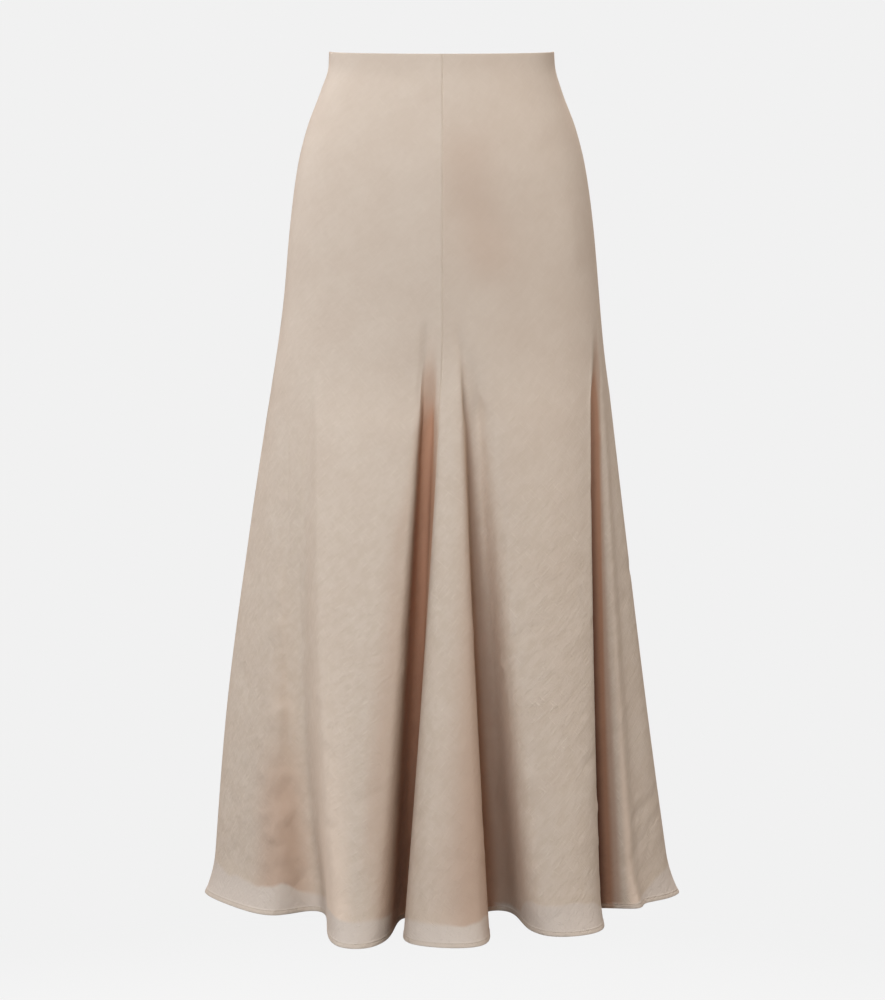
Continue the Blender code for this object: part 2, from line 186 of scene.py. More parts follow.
# Soft troughs and ridges of one panel, in the cloth's own sizes: across is measured from the panel's left edge
# as worn, down from the waist; reach is how far each side it spreads, height is negative for a trough
Crease = namedtuple("Crease", "panel across down to_across to_down reach height")
CREASES = (
    # where the two folds beside the front seam begin
    Crease("front_left", 0.2035, 0.262, 0.2160, 0.372, 0.0060, -0.0026),
    Crease("front_left", 0.1900, 0.300, 0.2080, 0.400, 0.0110, -0.0012),
    Crease("front_right", 0.0120, 0.268, 0.0400, 0.385, 0.0065, -0.0024),
    Crease("front_right", 0.0290, 0.300, 0.0620, 0.400, 0.0110, -0.0009),
    # a short fold that bridges the left one of them
    Crease("front_left", 0.2110, 0.398, 0.2380, 0.346, 0.0090, 0.0004),
    # soft spots below the waist
    Crease("front_left", 0.1020, 0.029, 0.1270, 0.023, 0.0070, -0.0009),
    Crease("front_left", 0.1500, 0.060, 0.1640, 0.047, 0.0050, -0.0006),
    Crease("front_left", 0.0250, 0.090, 0.0700, 0.076, 0.0100, -0.0008),
    Crease("front_right", 0.0000, 0.140, 0.0850, 0.200, 0.0280, -0.0012),
    Crease("front_right", 0.0900, 0.108, 0.1350, 0.090, 0.0100, -0.0008),
    Crease("front_right", 0.1320, 0.150, 0.1560, 0.232, 0.0130, 0.0012),
    # short slanting marks in the broad fold on the right, and two kinks in the one beyond it
    Crease("front_right", 0.1975, 0.5990, 0.2100, 0.5700, 0.0045, -0.0014),
    Crease("front_right", 0.2090, 0.5960, 0.2170, 0.5760, 0.0040, -0.0010),
    Crease("front_right", 0.1880, 0.5600, 0.2040, 0.5330, 0.0060, -0.0009),
    Crease("front_right", 0.1500, 0.4550, 0.1750, 0.4250, 0.0080, -0.0007),
    Crease("front_right", 0.3440, 0.5440, 0.3900, 0.5520, 0.0070, -0.0007),
    Crease("front_right", 0.3440, 0.5900, 0.3850, 0.5780, 0.0070, -0.0006),
    Crease("front_right", 0.5200, 0.8150, 0.5700, 0.7800, 0.0110, -0.0008),
    Crease("front_right", 0.5360, 0.8560, 0.5800, 0.8230, 0.0090, -0.0007),
    # the crumpled trough in the broad fold on the left
    Crease("front_left", 0.0990, 0.600, 0.1230, 0.690, 0.0140, -0.0014),
    Crease("front_left", 0.1180, 0.690, 0.1330, 0.800, 0.0130, -0.0022),
    Crease("front_left", 0.1040, 0.772, 0.1420, 0.738, 0.0080, 0.0007),
    Crease("front_left", 0.1160, 0.812, 0.1500, 0.776, 0.0075, 0.0008),
    Crease("front_left", 0.1080, 0.850, 0.1560, 0.822, 0.0085, 0.0007),
    Crease("front_left", 0.0980, 0.704, 0.1300, 0.672, 0.0080, 0.0006),
    Crease("front_left", 0.0880, 0.642, 0.1160, 0.612, 0.0070, 0.0005),
    Crease("front_left", 0.2350, 0.700, 0.2620, 0.668, 0.0070, -0.0009),
    Crease("front_left", 0.2900, 0.770, 0.3200, 0.738, 0.0070, -0.0010),
    Crease("front_left", 0.3150, 0.835, 0.3450, 0.806, 0.0070, 0.0010),
    # drag lines below the waist at the back, and where its folds begin
    Crease("back_right", 0.0250, 0.128, 0.0950, 0.158, 0.0110, -0.0013),
    Crease("back_right", 0.0600, 0.185, 0.1250, 0.205, 0.0130, -0.0010),
    Crease("back_right", 0.2030, 0.230, 0.2180, 0.390, 0.0090, -0.0011),
    Crease("back_right", 0.0930, 0.280, 0.1000, 0.430, 0.0140, -0.0010),
    Crease("back_right", 0.1300, 0.520, 0.1560, 0.490, 0.0080, -0.0011),
    Crease("back_right", 0.2600, 0.690, 0.2900, 0.655, 0.0090, 0.0012),
    Crease("back_left", 0.0200, 0.110, 0.0850, 0.140, 0.0110, -0.0013),
    Crease("back_left", 0.0900, 0.175, 0.1500, 0.160, 0.0130, -0.0009),
    Crease("back_left", 0.0160, 0.235, 0.0230, 0.400, 0.0090, -0.0011),
    Crease("back_left", 0.1420, 0.330, 0.1580, 0.480, 0.0140, -0.0010),
    Crease("back_left", 0.2500, 0.560, 0.2780, 0.590, 0.0090, -0.0012),
    Crease("back_left", 0.3300, 0.760, 0.3650, 0.725, 0.0090, 0.0013),
    Crease("back_left", 0.4600, 0.640, 0.4850, 0.680, 0.0100, -0.0012),
)

# Small soft crumples, which grow closer and taller down each panel
CRUMPLES = 170
CRUMPLE_SEED = 5
CRUMPLE_DOWN = (0.30, 0.87)
CRUMPLE_CROWDING = 0.6  # the lower this is, the closer they lie towards the hem
CRUMPLE_MARGIN = 0.04  # the share of the width without them at each side
CRUMPLE_SLANT = 45  # the threads' slant in degrees, and how far the crumples' own varies from it
CRUMPLE_SLANT_VARIES = 18
CRUMPLE_LENGTH = (0.014, 0.042)
CRUMPLE_REACH = (0.0035, 0.0075)
CRUMPLE_HEIGHT = (0.0003, 0.0010)
CRUMPLE_LEAST = 0.35  # the share of its height that one at the waist would have
LINE_FADE = 0.3  # the share of a crease's length over which it fades at each end
BELL_STEEPNESS = 1.5  # how fast it falls off to its sides

# Painted warm shade in a broad hollow, as lines like the creases'
Glow = namedtuple("Glow", "panel across down to_across to_down reach strength")
HOLLOW_SHADES = (
    Glow("front_left", 0.1160, 0.700, 0.1460, 0.960, 0.0340, 0.20),
    Glow("front_left", 0.2180, 0.420, 0.3560, 0.930, 0.0180, 0.20),
    Glow("front_left", 0.2080, 0.250, 0.2460, 0.560, 0.0080, 0.16),
    Glow("front_right", 0.0080, 0.040, 0.0580, 0.270, 0.0480, 0.22),
)

# Camera, in front of the skirt and a little above its middle
CAMERA = Vector((0.0, -3.2, -0.14))
AIM = Vector((0.0, 0.0, -0.4683))
METRES_A_PIXEL = 0.0010545
IMAGE_HEIGHT = 1000
SENSOR = 36.0

# The floor and the pale surround: how bright they look, and how much they light the cloth
FLOOR_LEVEL = -1.30
FLOOR_RADIUS = 14.0
FLOOR_SIDES = 96
FLOOR_FADES = (0.2, 1.6)  # how far out it begins and ends to turn into the surround
FLOOR_GREY = (0.16, 0.16, 0.16, 1.0)
FLOOR_GLOW = 0.76
BACKGROUND = 0.88
FLOOR_LIGHT = 0.0
AMBIENT = 0.0
BLACK = (0.0, 0.0, 0.0, 1.0)
WHITE = (1.0, 1.0, 1.0, 1.0)


# The shape


def smooth_through(x, xs, ys):
    """A curve through the points xs, ys that never swings past them, read at x."""
    xs = np.asarray(xs, float)
    ys = np.asarray(ys, float)
    step = np.diff(xs)
    slope = np.diff(ys) / step
    same_way = slope[:-1] * slope[1:] > 0
    mean = np.zeros(len(xs) - 2)
    mean[same_way] = 2 * slope[:-1][same_way] * slope[1:][same_way] / (slope[:-1] + slope[1:])[same_way]
    tangent = np.concatenate([[slope[0]], mean, [slope[-1]]])
    i = np.clip(np.searchsorted(xs, x, side="right") - 1, 0, len(step) - 1)
    t = (np.asarray(x, float) - xs[i]) / step[i]
    rise = step[i] * (tangent[i] * t * (1 - t) ** 2 - tangent[i + 1] * t * t * (1 - t))
    return ys[i] * (1 + 2 * t) * (1 - t) ** 2 + ys[i + 1] * t * t * (3 - 2 * t) + rise


def closed_spline(points, columns):
    """The smoothest closed curve through the points, read at columns, which count from point to point."""
    points = np.asarray(points, float)
    count = len(points)
    chord = np.sqrt(np.linalg.norm(np.roll(points, -1, axis=0) - points, axis=1))
    before = np.roll(chord, 1)
    system = np.zeros((count, count))
    for i in range(count):
        system[i, i - 1] += before[i]
        system[i, i] += 2 * (before[i] + chord[i])
        system[i, (i + 1) % count] += chord[i]
    ahead = (np.roll(points, -1, axis=0) - points) / chord[:, None]
    bend = np.linalg.solve(system, 6 * (ahead - np.roll(ahead, 1, axis=0)))
    i = np.floor(columns).astype(int) % count
    j = (i + 1) % count
    t = (columns - np.floor(columns))[:, None]
    s = 1 - t
    swell = (s**3 - s) * bend[i] + (t**3 - t) * bend[j]
    return s * points[i] + t * points[j] + chord[i][:, None] ** 2 / 6 * swell


def normals(ring):
    """Which way is outwards at each point of a closed ring."""
    ahead = np.roll(ring, -1, axis=0) - ring
    ahead /= np.linalg.norm(ahead, axis=1)[:, None]
    along = ahead + np.roll(ahead, 1, axis=0)
    along /= np.linalg.norm(along, axis=1)[:, None]
    return np.stack([along[:, 1], -along[:, 0]], axis=-1)


Outline = namedtuple("Outline", "turns hem starts growth kick sheer shade columns seams")


def outline_of(steps, beside_seams=(), behind=False):
    """Every column's place at the hip and at the hem, for the outer cloth or for the lining behind it."""
    hem, turns, starts, growth, lining, kick, sheer, shade, seams = ([] for _ in range(9))
    for fold in FOLDS:
        if fold.name in SEAMS:
            seams.append(len(hem))
        angle = math.radians(fold.faces)
        along = np.array([math.cos(angle), math.sin(angle)])
        for side in (-1, 1) if fold.half else (0,):
            hem.append(np.array([fold.across, fold.depth]) + side * fold.half * along)
            turns.append(fold.turns + side * fold.spread)
            starts.append(fold.starts)
            growth.append(fold.growth)
            lining.append(fold.lining)
            kick.append(fold.kick)
            sheer.append(fold.sheer)
            shade.append(fold.last_shade if side > 0 else fold.shade)
    count = len(hem)
    columns = set(np.arange(count * steps) / steps)
    columns |= {(seam + side * step) % count for seam in seams for step in beside_seams for side in (-1, 1)}
    columns = np.array(sorted(columns))
    knots = np.arange(count + 1)
    if behind:
        facing = normals(closed_spline(hem, np.arange(count * 3) / 3))[::3]
        hem = np.array(hem) - facing * np.array(lining)[:, None]

    def around(values, whole=0.0):
        return smooth_through(columns, knots, [*values, values[0] + whole])

    places = [int(np.searchsorted(columns, seam)) for seam in seams]
    curve = closed_spline(hem, columns)
    along_hem = [around(values) for values in (starts, growth, kick, sheer, shade)]
    return Outline(around(turns, TURNS), curve, *along_hem, columns, places)


def hang(turns, below):
    """The plain hang, before it folds, at those quarter turns and that height."""
    heights = [section.below for section in HANG]
    left, right, front, back = (
        smooth_through(below, heights, [getattr(section, side) for section in HANG])
        for side in ("left", "right", "front", "back")
    )
    angle = np.pi + turns * np.pi / 2
    across, depth = np.cos(angle), np.sin(angle)
    return np.stack(
        [across * np.where(across < 0, left, right), depth * np.where(depth < 0, front, back)], axis=-1
    )


def waist_height(turns):
    """The waist's height, which dips a little at the front and the back."""
    depth = np.sin(np.pi + turns * np.pi / 2)
    return np.where(depth < 0, FRONT_DIP * depth, -BACK_DIP * depth)


def ring_of(outline, share, inset=0.0):
    """One ring of a cloth's middle, at a share of the length, with the way outwards at each point."""
    below = share * LENGTH
    opened = np.clip((below - outline.starts) / (LENGTH - outline.starts), 0, 1)
    grown = opened**outline.growth * np.clip(opened / FOLD_ONSET, 0, 1)
    folded = outline.hem - hang(outline.turns, LENGTH)
    plan = hang(outline.turns, below) + grown[:, None] * folded
    facing = normals(plan)
    radial = plan / np.linalg.norm(plan, axis=1)[:, None]
    flares = np.clip((facing * radial).sum(axis=1), 0, 1) ** 2
    kicked = np.clip((below - LENGTH + KICK_HEIGHT) / KICK_HEIGHT, 0, 1) ** 2
    plan = plan + facing * (outline.kick * kicked * flares - inset)[:, None]
    height = (1 - share) * waist_height(outline.turns) - below
    return np.column_stack([plan, height]), np.column_stack([facing, np.zeros(len(facing))])


def lining_inset(share):
    """How far the lining's middle lies inside the outer cloth's, which grows below the facing."""
    eased = min(max((share * LENGTH - FACING_DEPTH) / EASE_HEIGHT, 0), 1)
    return FACING_INSET + eased * (EASE - FACING_INSET)


def smooth_step(x):
    """0 below 0, 1 above 1, and a soft rise between."""
    x = np.clip(x, 0, 1)
    return x * x * (3 - 2 * x)


def bell(x):
    """1 at 0, falling softly to nothing by about 2."""
    return np.exp(-(x**2) * BELL_STEEPNESS)


def rounded(distance):
    """The share of its thickness that cloth has at a distance from its rounded edge."""
    return np.sqrt(1 - (1 - np.clip(distance / EDGE_ROUND, 0, 1)) ** 2)


def spaced(start, end, step):
    """Even places from start to end, about a step apart."""
    return np.linspace(start, end, max(2, round(abs(end - start) / step) + 1))


def fold_depths(outline):
    """How deep in a fold each column lies at some heights: 0 in the open, 1 where hardly any light comes in."""
    heights = spaced(0.0, LENGTH, DEPTH_STEP)
    picked = np.arange(0, len(outline.columns), DEPTH_COLUMNS)
    turned = np.linspace(-1, 1, DEPTH_WAYS) * math.radians(DEPTH_SPREAD)
    weights = np.cos(turned)
    depths = []
    for height in heights:
        points, facing = ring_of(outline, height / LENGTH)
        ring = points[picked, :2]
        outwards = facing[picked, :2]
        onward = np.roll(ring, -1, axis=0)
        blocked = np.zeros(len(ring))
        for angle, weight in zip(turned, weights):
            c, s = math.cos(angle), math.sin(angle)
            turned_x = outwards[:, 0] * c - outwards[:, 1] * s
            turned_y = outwards[:, 0] * s + outwards[:, 1] * c
            way = np.stack([turned_x, turned_y], axis=-1)
            start = (ring + outwards * DEPTH_OFF)[:, None]
            edge = (onward - ring)[None]
            apart = ring[None] - start
            cross = way[:, None, 0] * edge[..., 1] - way[:, None, 1] * edge[..., 0]
            cross = np.where(np.abs(cross) < PARALLEL, PARALLEL, cross)
            far = (apart[..., 0] * edge[..., 1] - apart[..., 1] * edge[..., 0]) / cross
            share = (apart[..., 0] * way[:, None, 1] - apart[..., 1] * way[:, None, 0]) / cross
            blocked += weight * ((far > 0) & (share >= 0) & (share < 1)).any(axis=1)
        depths.append(blocked / weights.sum())
    return heights, outline.columns[picked], np.array(depths)


def depth_at(depths, heights, columns, count):
    """The fold depth at every row and column of a cloth."""
    known_heights, known_columns, values = depths
    wrapped = np.concatenate([known_columns, [count]])
    rows = np.array([np.interp(columns, wrapped, np.append(row, row[0])) for row in values])
    return np.array([np.interp(heights, known_heights, column) for column in rows.T]).T


# The cloth of one piece: its middle, which way is outwards, and each point's place on the flat cut
Cloth = namedtuple("Cloth", "middle facing across down left_edge right_edge above_hem picked")


def cloth_of(outline, shares, insets, first, last):
    """The stretch of a wall from one seam's column to another's."""
    count = len(outline.turns)
    picked = [c % count for c in range(first, last + 1)]
    middle, facing = [], []
    for share, inset in zip(shares, insets):
        points, outwards = ring_of(outline, share, inset)
        middle.append(points[picked])
        facing.append(outwards[picked])
    middle, facing = np.array(middle), np.array(facing)
    steps = np.linalg.norm(np.diff(middle, axis=1), axis=2)
    left_edge = np.concatenate([np.zeros((len(middle), 1)), np.cumsum(steps, axis=1)], axis=1)
    width = left_edge[:, -1:]
    falls = np.linalg.norm(np.diff(middle, axis=0), axis=2)
    down = np.concatenate([np.zeros((1, falls.shape[1])), np.cumsum(falls, axis=0)], axis=0)
    above_hem = down[-1:] - down
    return Cloth(middle, facing, left_edge - width / 2, down, left_edge, width - left_edge, above_hem, picked)


def soft_line(cloth, start, end, reach, strength):
    """A soft ridge along a line on the cloth, which fades at both ends."""
    start = np.array(start)
    run = np.array(end) - start
    place = np.stack([cloth.left_edge, cloth.down], axis=-1) - start
    share = (place @ run) / (run @ run)
    aside = (place[..., 0] * run[1] - place[..., 1] * run[0]) / math.hypot(*run)
    faded = smooth_step(share / LINE_FADE) * smooth_step((1 - share) / LINE_FADE)
    return strength * faded * bell(aside / reach)


def creased(cloth, panel):
    """How far the panel's creases lift the cloth at each point."""
    lifted = np.zeros(cloth.down.shape)
    for crease in CREASES:
        if crease.panel == panel:
            ends = (crease.across, crease.down), (crease.to_across, crease.to_down)
            lifted += soft_line(cloth, *ends, crease.reach, crease.height)
    return lifted


def crumpled(cloth, number):
    """How far small soft crumples, mostly along the threads' two slants, lift the cloth at each point."""
    chance = np.random.default_rng(CRUMPLE_SEED + number)
    lifted = np.zeros(cloth.down.shape)
    low, high = CRUMPLE_DOWN
    for _ in range(CRUMPLES):
        down = low + (high - low) * chance.random() ** CRUMPLE_CROWDING
        width = np.interp(down, cloth.down[:, 0], cloth.left_edge[:, -1])
        across = width * (CRUMPLE_MARGIN + (1 - 2 * CRUMPLE_MARGIN) * chance.random())
        length = chance.uniform(*CRUMPLE_LENGTH)
        slant = chance.choice((-CRUMPLE_SLANT, CRUMPLE_SLANT))
        angle = math.radians(slant + chance.normal(0, CRUMPLE_SLANT_VARIES))
        run = length * np.array([math.cos(angle), math.sin(angle)])
        reach = chance.uniform(*CRUMPLE_REACH)
        height = chance.uniform(*CRUMPLE_HEIGHT) * chance.choice((-1, 1))
        height *= CRUMPLE_LEAST + (1 - CRUMPLE_LEAST) * down / high
        middle = np.array([across, down])
        lifted += soft_line(cloth, middle - run / 2, middle + run / 2, reach, height)
    return lifted


def hollow_shade(cloth, panel):
    """How much painted warm shade each point of the panel gets from the broad hollows."""
    strength = np.zeros(cloth.down.shape)
    # each glow is a line of painted warm shade
    for glow in HOLLOW_SHADES:
        if glow.panel == panel:
            ends = (glow.across, glow.down), (glow.to_across, glow.to_down)
            strength += soft_line(cloth, *ends, glow.reach, glow.strength)
    return strength


# Building the meshes


def thin_wall(name, cloth, outside, inside, sheet_number, material, painted_shade=None, sheer=0.0):
    """A closed thin wall: the cloth's middle moved out and in by outside and inside at each point.

    It carries three vectors for its material: cut is the place on the flat piece and the sheet's number, edges is
    how far it is to a seam, to the hem and to the lining's lower edge, and fold begins with the painted warm shade.
    """
    if painted_shade is None:
        painted_shade = np.zeros(cloth.down.shape)
    rows, columns = cloth.down.shape
    points = np.concatenate(
        [
            (cloth.middle + cloth.facing * outside[..., None]).reshape(-1, 3),
            (cloth.middle - cloth.facing * inside[..., None]).reshape(-1, 3),
        ]
    )
    index = np.arange(rows * columns).reshape(rows, columns)
    quads = np.stack([index[:-1, :-1], index[1:, :-1], index[1:, 1:], index[:-1, 1:]], axis=-1).reshape(-1, 4)
    around = np.concatenate([index[0, :-1], index[:-1, -1], index[-1, :0:-1], index[:0:-1, 0]])
    onward = np.roll(around, -1)
    back = rows * columns
    rim = np.stack([around, onward, onward + back, around + back], axis=-1)
    faces = np.concatenate([quads, quads[:, ::-1] + back, rim])
    mesh = bpy.data.meshes.new(name)
    mesh.from_pydata(points.tolist(), [], faces.tolist())
    seam = np.minimum(cloth.left_edge, cloth.right_edge)
    number = np.full(cloth.down.shape, float(sheet_number))
    for label, values in (
        ("cut", (cloth.across, cloth.down, number)),
        ("edges", (seam, cloth.above_hem, cloth.above_hem - sheer)),
        # fold carries the painted warm shade of the folds first
        ("fold", (painted_shade, cloth.down, number)),
    ):
        layer = mesh.attributes.new(label, "FLOAT_VECTOR", "POINT")
        one_side = np.stack([v.reshape(-1) for v in values], axis=-1)
        layer.data.foreach_set("vector", np.concatenate([one_side, one_side]).astype(np.float32).ravel())
    mesh.shade_smooth()
    mesh.materials.append(material)
    piece = bpy.data.objects.new(name, mesh)
    bpy.context.scene.collection.objects.link(piece)
    return piece


def hem_profile(above):
    """How far the cloth's two sides lie from its middle, by height above the hem's edge."""
    raised = HEM_RELIEF * smooth_step((HEM_TOP - above) / HEM_STEP)
    stitched = HEM_RELIEF * STITCH_SINK * bell((above - HEM_STITCH) / STITCH_REACH)
    return (SHELL / 2 + raised - stitched) * rounded(above)


def seam_ridge(cloth, name):
    """How far the front stands forward along its middle seam, so that the two halves face a little apart."""
    beside = {"front_left": cloth.right_edge, "front_right": cloth.left_edge}.get(name)
    if beside is None:
        return 0.0
    strength = smooth_through(cloth.down, RIDGE_HEIGHTS, RIDGE_STRENGTHS)
    return strength * np.exp(-beside / RIDGE_REACH)


def seam_flank(cloth, name):
    """How dark the painted shade is on the flank that runs back beside the middle seam, behind the middle fold."""
    if name != "front_left":
        return 0.0
    beside = smooth_step(1 - cloth.right_edge / FLANK_REACH)
    return FLANK_SHADE * beside * smooth_step((cloth.down - FLANK_FROM) / FLANK_GROWS)


def painted_shade_of(outline, depths, cloth, heights, name):
    """How warm and dark the painted shade is at each point of a panel."""
    depth = depth_at(depths, heights, outline.columns[cloth.picked], math.ceil(outline.columns[-1]))
    shade = outline.shade[cloth.picked]
    below_start = cloth.down - outline.starts[cloth.picked]
    opened = np.clip(below_start / SHADE_ONSET, 0, 1)
    begun = smooth_step(below_start / SHADE_BEGINS)
    painted_shade = begun * shade * opened ** (SHADE_AT_ONCE + SHADE_LATER * np.clip(1 - shade, 0, 1))
    painted_shade = painted_shade + hollow_shade(cloth, name) + seam_flank(cloth, name)
    return painted_shade + DEPTH_SHADE * smooth_step((depth - DEPTH_OPEN) / (1 - DEPTH_OPEN))


def shell_panel(name, outline, depths, first, last, sheet_number, material):
    """One panel of the outer cloth, from its waist edge to its stitched hem."""
    even = spaced(FIRST_ROW, LENGTH - LAST_ROW, ROW_HEIGHT)
    heights = [*WAIST_EDGE_ROWS, *even, *(LENGTH - above for above in HEM_ROWS[::-1])]
    shares = np.array(heights) / LENGTH
    cloth = cloth_of(outline, shares, np.zeros(len(shares)), first, last)
    seam = np.minimum(cloth.left_edge, cloth.right_edge)
    relief = (creased(cloth, name) + crumpled(cloth, sheet_number)) * smooth_step(seam / CREASE_CLEAR)
    lift = relief + seam_ridge(cloth, name) - SEAM_SINK * bell(seam / SEAM_REACH)
    hem = hem_profile(cloth.above_hem)
    outside = hem * rounded(cloth.down) + lift
    inside = hem - lift
    painted_shade = painted_shade_of(outline, depths, cloth, heights, name)
    sheer = outline.sheer[cloth.picked]
    return thin_wall(name + "_cloth", cloth, outside, inside, sheet_number, material, painted_shade, sheer)


def facing_half(name, outline, first, last, sheet_number, material):
    """Half of the waist's facing."""
    heights = [*WAIST_EDGE_ROWS, *spaced(FIRST_ROW, FACING_DEPTH, FACING_ROW)]
    shares = np.array(heights) / LENGTH
    cloth = cloth_of(outline, shares, np.full(len(shares), FACING_INSET), first, last)
    half = np.full(cloth.down.shape, FACING / 2)
    return thin_wall(name + "_cloth", cloth, half, half * rounded(cloth.down), sheet_number, material)


def lining_half(name, outline, first, last, sheet_number, material):
    """Half of the lining, from under the facing to its own narrow hem."""
    end = LENGTH - LINING_SHORTER
    even = spaced(FACING_DEPTH - LINING_TUCK, end - LINING_LAST_ROW, LINING_ROW)
    shares = np.array([*even, *(end - above for above in LINING_HEM_ROWS[::-1])]) / LENGTH
    under_facing = (FACING + LINING) / 2
    insets = [lining_inset(share) + under_facing * (share * LENGTH < FACING_DEPTH) for share in shares]
    cloth = cloth_of(outline, shares, insets, first, last)
    half = LINING / 2 + LINING_HEM_RELIEF * smooth_step((LINING_HEM_TOP - cloth.above_hem) / LINING_HEM_STEP)
    return thin_wall(name + "_cloth", cloth, half, half, sheet_number, material)


# The materials


def feed(tree, socket, value):
    """Sets a socket, or links it to another."""
    if isinstance(value, bpy.types.NodeSocket):
        tree.links.new(value, socket)
    else:
        socket.default_value = value


def node(tree, kind, inputs=None, **settings):
    """A new node, with its settings and some of its inputs."""
    made = tree.nodes.new("ShaderNode" + kind)
    for name, value in settings.items():
        setattr(made, name, value)
    for name, value in (inputs or {}).items():
        feed(tree, made.inputs[name], value)
    return made


def maths(tree, operation, *values):
    """The result of one Math node."""
    made = node(tree, "Math", operation=operation)
    for socket, value in zip(made.inputs, values):
        feed(tree, socket, value)
    return made.outputs[0]


def times(tree, first, second):
    """Two values multiplied."""
    return maths(tree, "MULTIPLY", first, second)


def rise(tree, value, low, high, to_low=0.0, to_high=1.0):
    """A value stretched from one range to another, softly at both ends."""
    ends = {"From Min": low, "From Max": high, "To Min": to_low, "To Max": to_high}
    return node(tree, "MapRange", {"Value": value, **ends}, interpolation_type="SMOOTHSTEP").outputs["Result"]


def pulse(tree, value, middle, half):
    """1 where the value is at middle, falling to 0 at half away."""
    away = maths(tree, "ABSOLUTE", maths(tree, "SUBTRACT", value, middle))
    return rise(tree, away, half, 0.0)


def parts(tree, vector):
    """The X, Y and Z of a vector."""
    return node(tree, "SeparateXYZ", {"Vector": vector}).outputs


def vector_of(tree, x, y, z):
    """A vector from its three parts."""
    return node(tree, "CombineXYZ", {"X": x, "Y": y, "Z": z}).outputs[0]


def noise(tree, place, scale=1.0, detail=1.0, roughness=0.5):
    """Soft noise, with so many waves a metre."""
    inputs = {"Vector": place, "Scale": scale, "Detail": detail, "Roughness": roughness}
    return node(tree, "TexNoise", inputs).outputs["Fac"]


def counted(tree, vector, size):
    """A vector in lengths of that size instead of metres."""
    scale = maths(tree, "DIVIDE", 1.0, size)
    return node(tree, "VectorMath", {0: vector, "Scale": scale}, operation="SCALE").outputs[0]


def group(name, inputs, outputs):
    """An empty node group with those named inputs, each with its kind and usual value, and outputs."""
    tree = bpy.data.node_groups.new(name, "ShaderNodeTree")
    for label, (kind, usual) in inputs.items():
        socket = tree.interface.new_socket(label, in_out="INPUT", socket_type=kind)
        socket.default_value = usual
    for label, kind in outputs.items():
        tree.interface.new_socket(label, in_out="OUTPUT", socket_type=kind)
    return tree, tree.nodes.new("NodeGroupInput").outputs, tree.nodes.new("NodeGroupOutput").inputs


NUMBER = "NodeSocketFloat"
VECTOR = "NodeSocketVector"

# What shows along the threads: how many slub widths and lengths each one has, and between which values of the noise
# it appears
Mark = namedtuple("Mark", "wide long low high")
SLUB = Mark(1.0, 1.0, 0.60, 0.74)
STREAK = Mark(2.6, 3.0, 0.35, 0.65)
CLOUDS_BETWEEN = (0.3, 0.7)
FLECKS_BETWEEN = (0.38, 0.66)
FLECK_SQUASH = 0.45  # a fleck is that much shorter along the warp than along the weft
SHEET_SHIFT = 7.3  # moves the noise on, so that no two sheets and no two ways of the thread show the same marks
THREAD_SHIFT = 31.0


def bias_weave_group():
    """Threads that run at 45 degrees to the fall, thick slubs here and there along them, and soft cloudiness."""
    tree, given, out = group(
        "bias weave",
        {
            "Cut": (VECTOR, (0.0, 0.0, 0.0)),
            "Thread": (NUMBER, 0.0008),
            "Slub Width": (NUMBER, 0.0010),
            "Slub Length": (NUMBER, 0.015),
            "Cloud Size": (NUMBER, 0.05),
            "Fleck Size": (NUMBER, 0.006),
        },
        {"Threads": NUMBER, "Slubs": NUMBER, "Streaks": NUMBER, "Clouds": NUMBER, "Flecks": NUMBER},
    )
    place = parts(tree, given["Cut"])
    half = math.sqrt(0.5)
    warp = times(tree, maths(tree, "ADD", place["X"], place["Y"]), half)
    weft = times(tree, maths(tree, "SUBTRACT", place["X"], place["Y"]), half)

    def along_threads(mark):
        """The marks of one kind, on the warp and on the weft."""
        found = []
        for number, (across, along) in enumerate(((warp, weft), (weft, warp))):
            x = maths(tree, "DIVIDE", across, times(tree, given["Slub Width"], mark.wide))
            y = maths(tree, "DIVIDE", along, times(tree, given["Slub Length"], mark.long))
            shift = maths(tree, "ADD", times(tree, place["Z"], SHEET_SHIFT), THREAD_SHIFT * number)
            found.append(rise(tree, noise(tree, vector_of(tree, x, y, shift)), mark.low, mark.high))
        return found

    counts = [maths(tree, "DIVIDE", across, given["Thread"]) for across in (warp, weft)]
    waves = [maths(tree, "SINE", times(tree, count, math.pi)) for count in counts]
    feed(tree, out["Threads"], rise(tree, times(tree, *waves), -1.0, 1.0))
    feed(tree, out["Slubs"], maths(tree, "MAXIMUM", *along_threads(SLUB)))
    feed(tree, out["Streaks"], times(tree, maths(tree, "ADD", *along_threads(STREAK)), 0.5))
    clouds = noise(tree, counted(tree, given["Cut"], given["Cloud Size"]), detail=3.0, roughness=0.55)
    feed(tree, out["Clouds"], rise(tree, clouds, *CLOUDS_BETWEEN))
    slanted = vector_of(tree, warp, times(tree, weft, FLECK_SQUASH), place["Z"])
    flecks = noise(tree, counted(tree, slanted, given["Fleck Size"]), detail=3.0, roughness=0.6)
    feed(tree, out["Flecks"], rise(tree, flecks, *FLECKS_BETWEEN))
    return tree


# Waves that rope the hem and pucker the seams. many: radians a metre; astray: the radians by which noise leads them
# off; near_none, near_full: how far from the edge or the seam they begin, and where they are full
Waves = namedtuple("Waves", "many astray near_none near_full")
ROPING = Waves(700.0, 9.0, 0.011, 0.003)
ROPING_SLANT = 0.7
PUCKERING = Waves(420.0, 14.0, 0.010, 0.001)
WANDER = 60.0
STITCH_HALF = 0.0005  # half the height of the row of stitches
STITCH_SHARE = 0.4  # half of a stitch's share of the row
SEAM_LINE = (0.0008, 0.0001)  # how far from a seam its fine line begins and is full
HEM_SHADE_FULL = 0.85  # the share of the hem's depth below which all of it is shaded


